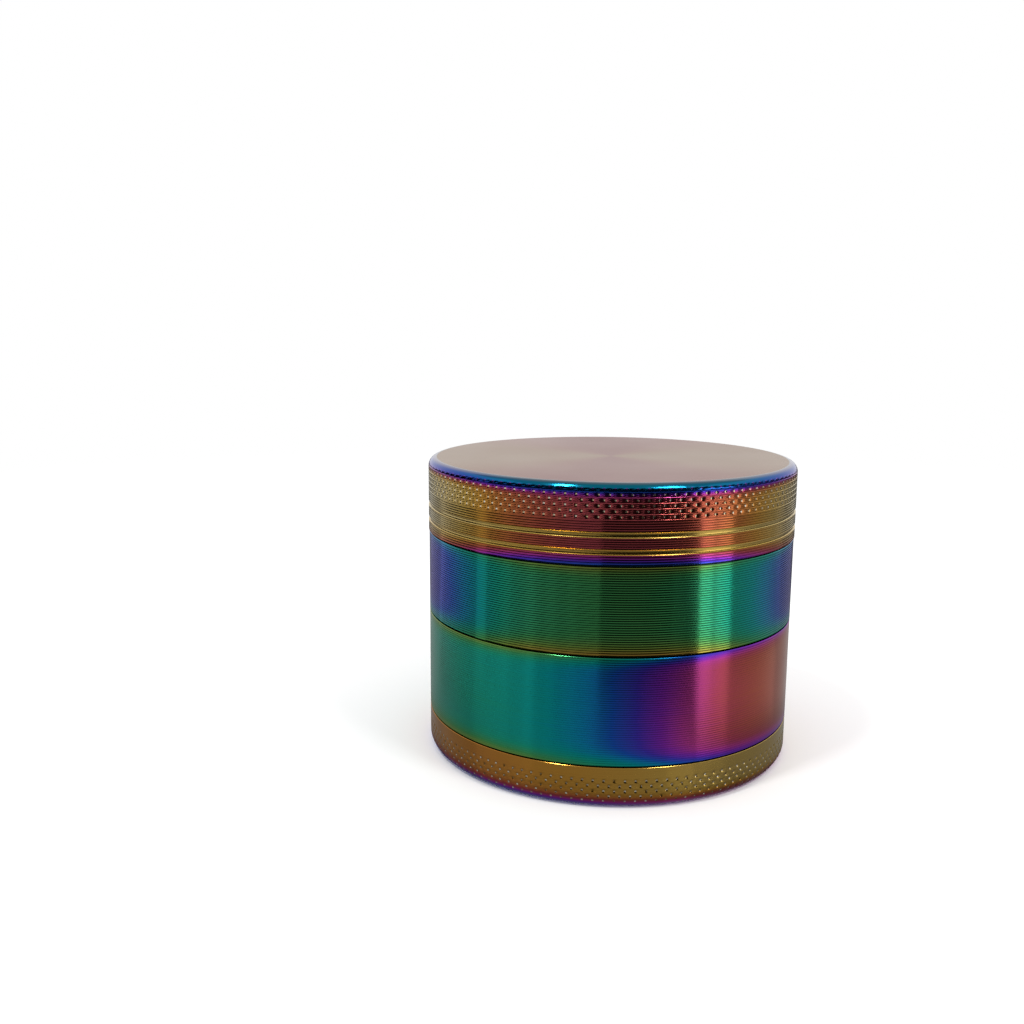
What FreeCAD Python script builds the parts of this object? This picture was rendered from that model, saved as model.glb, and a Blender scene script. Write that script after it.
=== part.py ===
"""Hand-turned grinder in four stacked parts: pollen tray, sieve chamber, toothed tray and lid.

The part stands on z = 0 with its axis on +Z. Each piece has a frame of its own, whose z = 0 is the
piece's lower outer edge, and is set at its height in the stack. All lengths are millimetres.
"""
import FreeCAD, Part
import os

import Sketcher
from FreeCAD import Placement, Rotation, Vector

# Driving dimensions. Each one is a cell of the sheet, and its name is the cell's alias.
SIZES = {
    # Outside, as the four bands show it
    "outer_diameter": 63.0,
    "lid_overhang": 0.1,
    "base_height": 6.8,
    "chamber_height": 17.4,
    "tray_height": 14.0,
    "lid_height": 12.5,
    "seam_gap": 0.1,
    "seam_chamfer": 0.25,
    "edge_break": 0.08,
    "rim_radius": 1.5,
    "foot_radius": 1.9,
    "grip_groove_width": 0.9,
    "grip_groove_depth": 0.35,
    "lower_groove_height": 2.15,
    "upper_groove_height": 4.75,
    # Screw threads that join base, chamber and tray
    "spigot_diameter": 56.6,
    "spigot_length": 4.5,
    "spigot_wall": 2.1,
    "spigot_chamfer": 0.4,
    "socket_relief": 0.4,
    "thread_pitch": 2.0,
    "thread_turns": 1.25,
    "thread_depth": 0.65,
    "thread_base": 1.3,
    "thread_crest": 0.5,
    "thread_clearance": 0.2,
    "thread_runout": 0.2,
    # How far ridges and teeth reach into the wall that carries them
    "root_overlap": 0.3,
    # Room around the loose rings and the screen
    "fit_gap": 0.1,
    # Pollen tray
    "bowl_floor": 2.4,
    "bowl_radius": 4.0,
    # Sieve: a screen under a ledge of the chamber, kept up by a split ring in a groove
    "screen_diameter": 53.6,
    "screen_thickness": 0.25,
    "screen_opening": 50.4,
    "screen_hole": 1.9,
    "screen_pitch": 2.6,
    "ledge_thickness": 0.9,
    "snap_ring_width": 1.4,
    "snap_ring_thickness": 0.65,
    "snap_ring_bite": 0.3,
    "snap_lip": 0.5,
    "snap_ring_split": 12.0,
    "hopper_diameter": 54.8,
    "hopper_slope": 4.0,
    # Toothed tray
    "floor_height": 10.8,
    "floor_thickness": 2.6,
    "floor_radius": 1.0,
    "collar_diameter": 56.8,
    "collar_height": 7.5,
    "collar_wall": 2.0,
    "post_height": 5.6,
    "drop_hole_diameter": 3.8,
    # Lid
    "plate_thickness": 3.1,
    "skirt_clearance": 0.3,
    "plate_radius": 1.0,
    # Teeth
    "tooth_length": 5.2,
    "tooth_width": 3.7,
    "tooth_draft": 3.0,
    "tooth_floor_gap": 0.8,
    "tray_tooth_height": 11.0,
    "wall_tooth_height": 9.8,
    "wall_tooth_reach": 3.1,
    "wall_tooth_width": 4.4,
    "lid_inner_circle": 22.0,
    "tray_tooth_circle": 31.4,
    "lid_outer_circle": 40.8,
    # Magnets and the ring that the lid turns on
    "boss_diameter": 13.0,
    "magnet_diameter": 10.0,
    "magnet_thickness": 3.0,
    "magnet_gap": 0.7,
    "magnet_clearance": 0.05,
    "magnet_chamfer": 0.3,
    "slip_ring_width": 1.4,
    "slip_ring_thickness": 1.15,
    # Counts around the axis
    "lid_inner_teeth": 6,
    "lid_outer_teeth": 12,
    "tray_teeth": 10,
    "wall_teeth": 16,
    "inner_drop_holes": 10,
    "outer_drop_holes": 20,
}

FULL_TURN = 360
EDGE_TOLERANCE = 0.01


class Size:
    """A length, with its value in millimetres and the expression that gives it from the sheet."""

    def __init__(self, value, text):
        self.value = value
        self.text = text

    def __add__(self, other):
        other = as_size(other)
        return Size(self.value + other.value, f"({self.text} + {other.text})")

    def __sub__(self, other):
        other = as_size(other)
        return Size(self.value - other.value, f"({self.text} - {other.text})")

    def __mul__(self, factor):
        return Size(self.value * factor, f"({self.text} * {factor})")

    def __truediv__(self, factor):
        return Size(self.value / factor, f"({self.text} / {factor})")

    def __neg__(self):
        return Size(-self.value, f"(-{self.text})")


def as_size(value):
    """The value itself if it is a Size, or else a constant."""
    return value if isinstance(value, Size) else Size(value, str(value))


def make_sheet(doc):
    """The sheet of driving dimensions, and the same dimensions as named sizes."""
    sheet = doc.addObject("Spreadsheet::Sheet", "Sizes")
    sizes = {}
    for row, (name, value) in enumerate(SIZES.items(), start=1):
        sheet.set(f"A{row}", name.replace("_", " "))
        sheet.set(f"B{row}", str(value))
        sheet.setAlias(f"B{row}", name)
        sizes[name] = Size(value, f"Sizes.{name}")
    doc.recompute()
    return sizes


doc = FreeCAD.newDocument("grinder")
size = make_sheet(doc)
ZERO = as_size(0)

# Sizes that several pieces share
OUTER_R = size["outer_diameter"] / 2
LID_R = OUTER_R + size["lid_overhang"]
SPIGOT_R = size["spigot_diameter"] / 2
SPIGOT_BORE = SPIGOT_R - size["spigot_wall"]
SOCKET_R = SPIGOT_R + size["thread_depth"] + size["thread_clearance"]
SOCKET_DEPTH = size["spigot_length"] + size["socket_relief"]
COLLAR_R = size["collar_diameter"] / 2
MAGNET_R = size["magnet_diameter"] / 2
POCKET_R = MAGNET_R + size["magnet_clearance"]
POCKET_DEPTH = size["magnet_thickness"] + size["magnet_clearance"]
BOSS_R = size["boss_diameter"] / 2
SCREEN_BORE = size["screen_diameter"] / 2 + size["fit_gap"] * 2
SNAP_RING_R = SCREEN_BORE + size["snap_ring_bite"]
# Middle of a ridge where its thread starts, above the shoulder or the chamfer below it
THREAD_START = size["thread_base"] / 2 + size["thread_runout"]
PLATE_BOTTOM = size["lid_height"] - size["plate_thickness"]
GRINDING_HEIGHT = size["tray_height"] + PLATE_BOTTOM - size["floor_height"]

# Heights of the pieces in the stack
CHAMBER_Z = size["base_height"]
TRAY_Z = CHAMBER_Z + size["chamber_height"]
LID_Z = TRAY_Z + size["tray_height"]
POST_TOP = TRAY_Z + size["floor_height"] + size["post_height"]

# Heights above the chamber's lower edge: the lip, the split ring in its groove, the screen, the ledge
LIP_TOP = SOCKET_DEPTH + size["snap_lip"]
SNAP_RING_Z = LIP_TOP + size["fit_gap"]
SCREEN_Z = SNAP_RING_Z + size["snap_ring_thickness"] + size["fit_gap"]
LEDGE_Z = SCREEN_Z + size["screen_thickness"] + size["fit_gap"]


def bind(item, name, value):
    """Ties a property of a document object to the sheet."""
    item.setExpression(name, value.text)


def origin_feature(body, role):
    """A plane or an axis of the body's own origin."""
    return next(feature for feature in body.Origin.OriginFeatures if feature.Role == role)


def new_body(label, height=ZERO):
    """An empty body set at its height in the stack."""
    body = doc.addObject("PartDesign::Body", label)
    body.Label = label
    bind(body, "Placement.Base.z", height)
    return body


def new_sketch(body, name, plane, height=ZERO, turn=ZERO):
    """A sketch on one of the body's planes, raised along its normal and turned about it in degrees."""
    sketch = body.newObject("Sketcher::SketchObject", name)
    sketch.AttachmentSupport = (origin_feature(body, plane), "")
    sketch.MapMode = "FlatFace"
    up = Vector(0, 0, 1)
    sketch.AttachmentOffset = Placement(up * height.value, Rotation(up, turn.value))
    bind(sketch, "AttachmentOffset.Base.z", height)
    bind(sketch, "AttachmentOffset.Rotation.Angle", turn)
    return sketch


def pin(sketch, geometry, point, axis, value):
    """Fixes one coordinate of a point of the sketch to a size."""
    if value.value == 0:
        other_axis = -2 if axis == "X" else -1
        sketch.addConstraint(Sketcher.Constraint("PointOnObject", geometry, point, other_axis))
        return
    ends = (-1, 1, geometry, point) if value.value > 0 else (geometry, point, -1, 1)
    positive = value if value.value > 0 else -value
    index = sketch.addConstraint(Sketcher.Constraint("Distance" + axis, *ends, positive.value))
    bind(sketch, f"Constraints[{index}]", positive)


def outline(sketch, points):
    """A closed outline of straight lines through points, each a pair of sizes."""
    places = [Vector(across.value, up.value, 0) for across, up in points]
    following = places[1:] + places[:1]
    sketch.addGeometry([Part.LineSegment(a, b) for a, b in zip(places, following)], False)
    for index in range(len(points)):
        after = (index + 1) % len(points)
        sketch.addConstraint(Sketcher.Constraint("Coincident", index, 2, after, 1))
    for index, (across, up) in enumerate(points):
        pin(sketch, index, 1, "X", across)
        pin(sketch, index, 1, "Y", up)


def circle(sketch, across, up, radius):
    """A circle about a point of the sketch."""
    place = Vector(across.value, up.value, 0)
    index = sketch.addGeometry(Part.Circle(place, Vector(0, 0, 1), radius.value), False)
    pin(sketch, index, 3, "X", across)
    pin(sketch, index, 3, "Y", up)
    constraint = sketch.addConstraint(Sketcher.Constraint("Radius", index, radius.value))
    bind(sketch, f"Constraints[{constraint}]", radius)


def turned(body, name, points, angle=as_size(FULL_TURN)):
    """A solid of revolution from half a section, given as pairs of radius and height."""
    sketch = new_sketch(body, name + "Section", "XZ_Plane")
    outline(sketch, points)
    feature = body.newObject("PartDesign::Revolution", name)
    feature.Profile = sketch
    feature.ReferenceAxis = (sketch, ["V_Axis"])
    bind(feature, "Angle", angle)
    doc.recompute()
    return feature


def rings(feature, places):
    """Names of the feature's circular edges at the given pairs of radius and height."""
    found = []
    for number, edge in enumerate(feature.Shape.Edges, start=1):
        if not isinstance(edge.Curve, Part.Circle):
            continue
        for radius, height in places:
            radius_off = abs(edge.Curve.Radius - radius.value)
            height_off = abs(edge.Curve.Center.z - height.value)
            if max(radius_off, height_off) < EDGE_TOLERANCE:
                found.append(f"Edge{number}")
    if len(found) < len(places):
        raise ValueError(f"{feature.Name}: {len(found)} of {len(places)} edges found")
    return found


def dressed(body, kind, name, value, places):
    """A fillet or a chamfer of one size on the body's circular edges."""
    base = body.Tip
    feature = body.newObject("PartDesign::" + kind, name)
    feature.Base = (base, rings(base, places))
    bind(feature, "Radius" if kind == "Fillet" else "Size", value)
    doc.recompute()
    return feature


def grip_groove(body, name, height):
    """A round-bottomed groove around the outside, from a circle that stands mostly outside the wall."""
    half = size["grip_groove_width"] / 2
    depth = size["grip_groove_depth"]
    # A chord of the groove's width, at the groove's depth, fixes the circle.
    radius_value = (half.value**2 + depth.value**2) / (2 * depth.value)
    radius_text = f"(({half.text})^2 + ({depth.text})^2) / (2 * {depth.text})"
    radius = Size(radius_value, radius_text)
    sketch = new_sketch(body, name + "Section", "XZ_Plane")
    circle(sketch, LID_R - depth + radius, height, radius)
    groove = body.newObject("PartDesign::Groove", name)
    groove.Profile = sketch
    groove.ReferenceAxis = (sketch, ["V_Axis"])
    groove.Angle = FULL_TURN
    doc.recompute()


def thread(body, name, wall, inward, height):
    """A right-hand thread that stands out of a round wall, inwards or outwards, from a height up."""
    side = -1 if inward else 1
    root = wall - size["root_overlap"] * side
    crest = wall + size["thread_depth"] * side
    base_half = size["thread_base"] / 2
    crest_half = size["thread_crest"] / 2
    sketch = new_sketch(body, name + "Profile", "XZ_Plane")
    outline(sketch, [
        (root, height - base_half),
        (wall, height - base_half),
        (crest, height - crest_half),
        (crest, height + crest_half),
        (wall, height + base_half),
        (root, height + base_half),
    ])
    helix = body.newObject("PartDesign::AdditiveHelix", name)
    helix.Profile = sketch
    helix.ReferenceAxis = (sketch, ["V_Axis"])
    helix.Mode = "pitch-turns-angle"
    bind(helix, "Pitch", size["thread_pitch"])
    bind(helix, "Turns", size["thread_turns"])
    doc.recompute()


def half_step(count):
    """Half the angle in degrees between neighbours of a ring."""
    return Size(FULL_TURN / 2 / count.value, f"({FULL_TURN} / 2 / {count.text})")


def around(body, name, feature, count):
    """Repeats a feature evenly around the body's axis."""
    pattern = body.newObject("PartDesign::PolarPattern", name)
    pattern.Originals = [feature]
    pattern.Axis = (origin_feature(body, "Z_Axis"), [""])
    pattern.Angle = FULL_TURN
    bind(pattern, "Occurrences", count)
    body.Tip = pattern
    doc.recompute()


def teeth(body, name, points, height, length, count, start=ZERO, downwards=False):
    """A ring of teeth that taper from their root, from the plan of the first one."""
    sketch = new_sketch(body, name + "Plan", "XY_Plane", height, start)
    outline(sketch, points)
    tooth = body.newObject("PartDesign::Pad", name + "First")
    tooth.Profile = sketch
    tooth.Reversed = downwards
    bind(tooth, "Length", length)
    bind(tooth, "TaperAngle", -size["tooth_draft"])
    doc.recompute()
    around(body, name, tooth, count)


def diamond(circle_diameter):
    """Plan of a diamond tooth whose centre is on a circle, with its points along that circle."""
    middle = circle_diameter / 2
    half_length = size["tooth_length"] / 2
    half_width = size["tooth_width"] / 2
    return [
        (middle - half_width, ZERO),
        (middle, -half_length),
        (middle + half_width, ZERO),
        (middle, half_length),
    ]


def drop_holes(body, name, circle_diameter, count):
    """A ring of round holes through the tray's floor."""
    sketch = new_sketch(body, name + "Plan", "XY_Plane", size["floor_height"])
    circle(sketch, circle_diameter / 2, ZERO, size["drop_hole_diameter"] / 2)
    hole = body.newObject("PartDesign::Pocket", name + "First")
    hole.Profile = sketch
    bind(hole, "Length", size["floor_thickness"] * 2)
    doc.recompute()
    around(body, name, hole, count)


def make_pollen_tray():
    """The base: a shallow bowl whose threaded spigot rises into the chamber."""
    body = new_body("pollen_tray")
    shoulder = size["base_height"] - size["seam_gap"]
    top = shoulder + size["spigot_length"]
    turned(body, "TrayBowl", [
        (ZERO, ZERO),
        (OUTER_R, ZERO),
        (OUTER_R, shoulder),
        (SPIGOT_R, shoulder),
        (SPIGOT_R, top),
        (SPIGOT_BORE, top),
        (SPIGOT_BORE, size["bowl_floor"]),
        (ZERO, size["bowl_floor"]),
    ])
    dressed(body, "Fillet", "Foot", size["foot_radius"], [(OUTER_R, ZERO)])
    dressed(body, "Fillet", "BowlCorner", size["bowl_radius"], [(SPIGOT_BORE, size["bowl_floor"])])
    dressed(body, "Chamfer", "UpperEdge", size["edge_break"], [(OUTER_R, shoulder)])
    dressed(body, "Chamfer", "Lead", size["spigot_chamfer"], [(SPIGOT_R, top)])
    thread(body, "Thread", SPIGOT_R, False, shoulder + THREAD_START)
    return body


def make_sieve_chamber():
    """The middle ring: sockets threaded inside at both ends, and a ledge over the screen."""
    body = new_body("sieve_chamber", CHAMBER_Z)
    top = size["chamber_height"] - size["seam_gap"]
    upper_step = top - SOCKET_DEPTH
    groove_r = SNAP_RING_R + size["fit_gap"]
    opening = size["screen_opening"] / 2
    ledge_top = LEDGE_Z + size["ledge_thickness"]
    hopper_r = size["hopper_diameter"] / 2
    turned(body, "ChamberWall", [
        (SOCKET_R, ZERO),
        (SOCKET_R, SOCKET_DEPTH),
        (SCREEN_BORE, SOCKET_DEPTH),
        (SCREEN_BORE, LIP_TOP),
        (groove_r, LIP_TOP),
        (groove_r, SCREEN_Z),
        (SCREEN_BORE, SCREEN_Z),
        (SCREEN_BORE, LEDGE_Z),
        (opening, LEDGE_Z),
        (opening, ledge_top),
        (hopper_r, ledge_top + size["hopper_slope"]),
        (hopper_r, upper_step),
        (SOCKET_R, upper_step),
        (SOCKET_R, top),
        (OUTER_R, top),
        (OUTER_R, ZERO),
    ])
    dressed(body, "Chamfer", "UpperEdge", size["edge_break"], [(OUTER_R, top)])
    dressed(body, "Chamfer", "Seam", size["seam_chamfer"], [(OUTER_R, ZERO)])
    dressed(body, "Chamfer", "Mouths", size["seam_chamfer"], [(SOCKET_R, ZERO), (SOCKET_R, top)])
    # Each ridge lies half a pitch from the ridge of the spigot that it takes.
    half_pitch = size["thread_pitch"] / 2
    thread(body, "LowerThread", SOCKET_R, True, THREAD_START - size["seam_gap"] + half_pitch)
    upper_start = size["chamber_height"] - size["spigot_length"] + size["spigot_chamfer"] + THREAD_START
    thread(body, "UpperThread", SOCKET_R, True, upper_start - half_pitch)
    return body


def make_mesh_screen():
    """The sieve: a thin round sheet with a square grid of openings."""
    sheet = doc.Sizes
    radius = sheet.screen_diameter / 2
    opening = sheet.screen_opening / 2
    pitch = sheet.screen_pitch
    half = sheet.screen_hole / 2
    rim = Part.Wire(Part.makeCircle(radius))
    reach = int(opening / pitch) + 1
    holes = []
    for column in range(-reach, reach + 1):
        for row in range(-reach, reach + 1):
            middle = Vector(column * pitch, row * pitch, 0)
            if middle.Length + half * 2 < opening:
                corners = [(-half, -half), (half, -half), (half, half), (-half, half), (-half, -half)]
                holes.append(Part.makePolygon([middle + Vector(x, y, 0) for x, y in corners]))
    face = Part.makeFace([rim, *holes], "Part::FaceMakerBullseye")
    screen = doc.addObject("Part::Feature", "mesh_screen")
    screen.Label = "mesh_screen"
    screen.Shape = face.extrude(Vector(0, 0, sheet.screen_thickness))
    bind(screen, "Placement.Base.z", CHAMBER_Z + SCREEN_Z)
    return screen


def make_screen_ring():
    """The split spring ring that keeps the screen up against the ledge."""
    body = new_body("screen_ring", CHAMBER_Z + SNAP_RING_Z)
    inner = SNAP_RING_R - size["snap_ring_width"]
    turned(body, "SplitRing", [
        (inner, ZERO),
        (SNAP_RING_R, ZERO),
        (SNAP_RING_R, size["snap_ring_thickness"]),
        (inner, size["snap_ring_thickness"]),
    ], as_size(FULL_TURN) - size["snap_ring_split"])
    return body


def make_grinding_tray():
    """The toothed tray: a drilled floor with teeth above it, and a threaded spigot below."""
    body = new_body("grinding_tray", TRAY_Z)
    shoulder = size["tray_height"] - size["seam_gap"]
    floor_top = size["floor_height"]
    floor_bottom = floor_top - size["floor_thickness"]
    collar_top = shoulder + size["collar_height"]
    cavity_r = COLLAR_R - size["collar_wall"]
    post_top = floor_top + size["post_height"]
    turned(body, "TrayWall", [
        (ZERO, floor_bottom),
        (SPIGOT_BORE, floor_bottom),
        (SPIGOT_BORE, -size["spigot_length"]),
        (SPIGOT_R, -size["spigot_length"]),
        (SPIGOT_R, ZERO),
        (OUTER_R, ZERO),
        (OUTER_R, shoulder),
        (COLLAR_R, shoulder),
        (COLLAR_R, collar_top),
        (cavity_r, collar_top),
        (cavity_r, floor_top),
        (BOSS_R, floor_top),
        (BOSS_R, post_top),
        (POCKET_R, post_top),
        (POCKET_R, post_top - POCKET_DEPTH),
        (ZERO, post_top - POCKET_DEPTH),
    ])
    dressed(body, "Fillet", "FloorCorners", size["floor_radius"], [
        (cavity_r, floor_top),
        (BOSS_R, floor_top),
        (SPIGOT_BORE, floor_bottom),
    ])
    dressed(body, "Chamfer", "UpperEdge", size["edge_break"], [(OUTER_R, shoulder)])
    dressed(body, "Chamfer", "Seam", size["seam_chamfer"], [(OUTER_R, ZERO)])
    dressed(body, "Chamfer", "Leads", size["spigot_chamfer"], [
        (SPIGOT_R, -size["spigot_length"]),
        (COLLAR_R, collar_top),
    ])
    thread_start = size["spigot_chamfer"] + THREAD_START - size["spigot_length"]
    thread(body, "Thread", SPIGOT_R, False, thread_start)
    tooth_root = floor_top - size["root_overlap"]
    teeth(body, "TrayTeeth", diamond(size["tray_tooth_circle"]), tooth_root,
          size["tray_tooth_height"] + size["root_overlap"], size["tray_teeth"])
    wall_half = size["wall_tooth_width"] / 2
    teeth(body, "WallTeeth", [
        (cavity_r - size["wall_tooth_reach"], ZERO),
        (cavity_r + size["root_overlap"], -wall_half),
        (cavity_r + size["root_overlap"], wall_half),
    ], tooth_root, size["wall_tooth_height"] + size["root_overlap"], size["wall_teeth"])
    drop_holes(body, "InnerHoles", size["lid_inner_circle"], size["inner_drop_holes"])
    drop_holes(body, "OuterHoles", size["lid_outer_circle"], size["outer_drop_holes"])
    return body


def make_slip_ring():
    """The nylon ring on the tray's shoulder that the lid turns on."""
    body = new_body("slip_ring", LID_Z - size["seam_gap"] / 2)
    inner = COLLAR_R + size["fit_gap"]
    outer = inner + size["slip_ring_width"]
    turned(body, "SlipRing", [
        (inner, ZERO),
        (outer, ZERO),
        (outer, size["slip_ring_thickness"]),
        (inner, size["slip_ring_thickness"]),
    ])
    return body


def make_lid():
    """The lid: a grooved cap with a rounded rim, two rings of teeth and a boss for its magnet."""
    body = new_body("lid", LID_Z)
    top = size["lid_height"]
    underside = PLATE_BOTTOM
    skirt_r = COLLAR_R + size["skirt_clearance"]
    ring_r = COLLAR_R + size["slip_ring_width"] + size["fit_gap"] * 2
    ring_top = size["slip_ring_thickness"] + size["fit_gap"] - size["seam_gap"] / 2
    boss_bottom = underside - (GRINDING_HEIGHT - size["post_height"] - size["magnet_gap"])
    turned(body, "LidCap", [
        (ZERO, top),
        (LID_R, top),
        (LID_R, ZERO),
        (ring_r, ZERO),
        (ring_r, ring_top),
        (skirt_r, ring_top),
        (skirt_r, underside),
        (BOSS_R, underside),
        (BOSS_R, boss_bottom),
        (POCKET_R, boss_bottom),
        (POCKET_R, boss_bottom + POCKET_DEPTH),
        (ZERO, boss_bottom + POCKET_DEPTH),
    ])
    dressed(body, "Fillet", "Rim", size["rim_radius"], [(LID_R, top)])
    plate_corners = [(skirt_r, underside), (BOSS_R, underside)]
    dressed(body, "Fillet", "PlateCorners", size["plate_radius"], plate_corners)
    dressed(body, "Chamfer", "Seam", size["seam_chamfer"], [(LID_R, ZERO)])
    grip_groove(body, "LowerGroove", size["lower_groove_height"])
    grip_groove(body, "UpperGroove", size["upper_groove_height"])
    tooth_root = underside + size["root_overlap"]
    tooth_length = GRINDING_HEIGHT - size["tooth_floor_gap"] + size["root_overlap"]
    teeth(body, "InnerTeeth", diamond(size["lid_inner_circle"]), tooth_root, tooth_length,
          size["lid_inner_teeth"], half_step(size["lid_inner_teeth"]), True)
    teeth(body, "OuterTeeth", diamond(size["lid_outer_circle"]), tooth_root, tooth_length,
          size["lid_outer_teeth"], half_step(size["lid_outer_teeth"]), True)
    return body


def make_magnet(label, height):
    """A plated disc magnet."""
    body = new_body(label, height)
    turned(body, "Disc", [
        (ZERO, ZERO),
        (MAGNET_R, ZERO),
        (MAGNET_R, size["magnet_thickness"]),
        (ZERO, size["magnet_thickness"]),
    ])
    edges = [(MAGNET_R, ZERO), (MAGNET_R, size["magnet_thickness"])]
    dressed(body, "Chamfer", "Edges", size["magnet_chamfer"], edges)
    return body


def check(pieces):
    """Stops if any object of the document failed, or a piece is not a sound solid."""
    for item in doc.Objects:
        if {"Invalid", "Error"} & set(item.State):
            raise ValueError(f"{item.Label} failed: {item.State}")
    for piece in pieces:
        if piece.Shape.isNull() or not piece.Shape.isValid() or not piece.Shape.Solids:
            raise ValueError(f"{piece.Label} is not a sound solid")
        print(f"{piece.Label}: {len(piece.Shape.Solids)} solid, {piece.Shape.Volume:.1f} mm3")


def write(pieces):
    """Writes each piece to a file named after it."""
    os.makedirs("parts", exist_ok=True)
    for piece in pieces:
        piece.Shape.exportStep(f"parts/{piece.Label}.step")


pieces = [
    make_pollen_tray(),
    make_sieve_chamber(),
    make_mesh_screen(),
    make_screen_ring(),
    make_grinding_tray(),
    make_magnet("tray_magnet", POST_TOP - size["magnet_thickness"]),
    make_slip_ring(),
    make_lid(),
    make_magnet("lid_magnet", POST_TOP + size["magnet_gap"]),
]
doc.recompute()
check(pieces)
write(pieces)
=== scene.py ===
"""Looks of a four-part hand grinder: turned, knurled and rainbow-coated rings over the frame of its solids.

Lengths are millimetres in profiles and metres in meshes and properties. Angles go round the axis from the
viewer's side, which is -Y, towards +X.
"""
import math
from typing import NamedTuple

import bmesh
import bpy
import numpy as np
from mathutils import Matrix, Vector


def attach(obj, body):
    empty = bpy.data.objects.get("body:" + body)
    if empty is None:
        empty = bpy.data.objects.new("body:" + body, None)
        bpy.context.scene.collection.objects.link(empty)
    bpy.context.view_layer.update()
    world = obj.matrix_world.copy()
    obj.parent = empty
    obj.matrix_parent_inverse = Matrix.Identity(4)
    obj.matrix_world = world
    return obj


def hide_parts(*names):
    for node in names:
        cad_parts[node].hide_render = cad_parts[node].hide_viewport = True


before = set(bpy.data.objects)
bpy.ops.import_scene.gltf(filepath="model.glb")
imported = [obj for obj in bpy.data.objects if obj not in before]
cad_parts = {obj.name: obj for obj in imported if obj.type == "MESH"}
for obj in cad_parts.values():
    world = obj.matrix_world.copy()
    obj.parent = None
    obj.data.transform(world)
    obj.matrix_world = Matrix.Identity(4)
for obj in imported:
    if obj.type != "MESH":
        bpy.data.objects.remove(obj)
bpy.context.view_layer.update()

bl_info = {
    "name": "Hand Grinder",
    "version": (1, 0, 0),
    "blender": (4, 5, 0),
    "location": "View3D > Sidebar > Grinder",
    "description": "Builds the coated metal parts of a hand grinder over its solids",
    "category": "Object",
}

MM = 0.001
WELD = 0.002 * MM
SHARP_TURN = math.radians(28)

# Heights in the stack and radii of the solids, which the dressed parts keep.
BASE_TOP = 6.7
CHAMBER_BOTTOM, CHAMBER_TOP = 6.8, 24.1
TRAY_BOTTOM, TRAY_TOP = 24.2, 38.1
LID_BOTTOM, LID_TOP = 38.2, 50.7
OUTER_R, LID_R = 31.5, 31.6
RIM, FOOT, CORNER = 1.5, 1.9, 1.0
SPIGOT_R, SPIGOT_BORE, SPIGOT_LEAD, SPIGOT_LENGTH = 28.3, 26.2, 0.4, 4.5
SOCKET_R, SOCKET_DEPTH = 29.15, 4.9
COLLAR_R, COLLAR_BORE, COLLAR_TOP = 28.4, 26.4, 45.6
FLOOR_TOP, FLOOR_BOTTOM = 35.0, 32.4
HOLE_R, INNER_HOLES, OUTER_HOLES = 1.9, 10, 20
BOSS_R, POCKET_R = 6.5, 5.05
POST_TOP, POST_POCKET = 40.6, 37.55
PLATE_BOTTOM, BOSS_BOTTOM, BOSS_POCKET = 47.6, 41.3, 44.35
SKIRT_R, RING_BORE, RING_TOP = 28.7, 30.0, 39.4
GROOVES = (42.95, 40.35)
GROOVE_WIDTH, GROOVE_DEPTH = 0.9, 0.35
CHAMBER_BORE, SPRING_R, SPRING_BOTTOM = 27.0, 27.4, 12.2
LEDGE_BORE, LEDGE_BOTTOM, LEDGE_TOP = 25.2, 13.4, 14.3
FUNNEL_R, FUNNEL_TOP = 27.4, 18.3
BOWL_FLOOR, BOWL_R = 2.4, 4.0
SCREEN_BOTTOM, SCREEN_TOP, SCREEN_R, SCREEN_BORE = 13.05, 13.3, 26.8, 25.9
WIRE_REACH, WIRE_R = 26.3, 0.055
THREAD_TURNS, THREAD_PITCH, THREAD_DEPTH = 1.25, 2.0, 0.65
THREAD_BASE, THREAD_CREST = 1.3, 0.5
TRAY_THREAD, BASE_THREAD, SOCKET_THREADS = 20.95, 7.55, (8.55, 19.95)
TOOTH_LENGTH, TOOTH_WIDTH, TOOTH_DRAFT = 5.2, 3.7, math.radians(3)
INNER_CIRCLE, MIDDLE_CIRCLE, OUTER_CIRCLE = 11.0, 15.7, 20.4
INNER_TEETH, OUTER_TEETH, TRAY_TEETH, WALL_TEETH = 6, 12, 10, 16
LID_TOOTH_TIP, TRAY_TOOTH_TIP, WALL_TOOTH_TIP = 35.8, 46.0, 44.8
WALL_TOOTH_REACH, WALL_TOOTH_HALF = 3.1, 2.2
ROOT = 0.3  # how deep teeth and threads are sunk into the metal that carries them
FLOOR_LAP, FLOOR_EDGE = 0.4, 0.6  # how far the tray's floor and its wall and post run into each other

# Broken edges under the bands, under the lid, on upper edges, on bosses and on the screen's rim
SEAM, LID_SEAM, EDGE_BREAK, BOSS_BREAK, SCREEN_BREAK = 0.20, 0.15, 0.04, 0.3, 0.05

# Angle on the lid's rounding, in degrees, where the finish of the top ends
TOP_EDGE = 84

# Middles of the lid's highest and the base's lowest row of dents
LID_TOP_ROW, BASE_LOWEST_ROW = 49.84, 1.27

# On the lid's rounding, the share of it over which the dents fade, and the depth that they keep
FAINT_OVER, FAINTEST = 0.5, 0.08

# Depth of the turned lines beside the tray's; the chamber's change round it by a mean share and a swing.
LID_LINES, CHAMBER_LINES, BASE_LINES = 0.95, 0.6, 0.12
FADE_MEAN, FADE_SWING = 0.5, 0.3

# Steps round a wall, a post and a thin rim
WALL_STEPS, POST_STEPS, RIM_STEPS = 240, 96, 120

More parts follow.
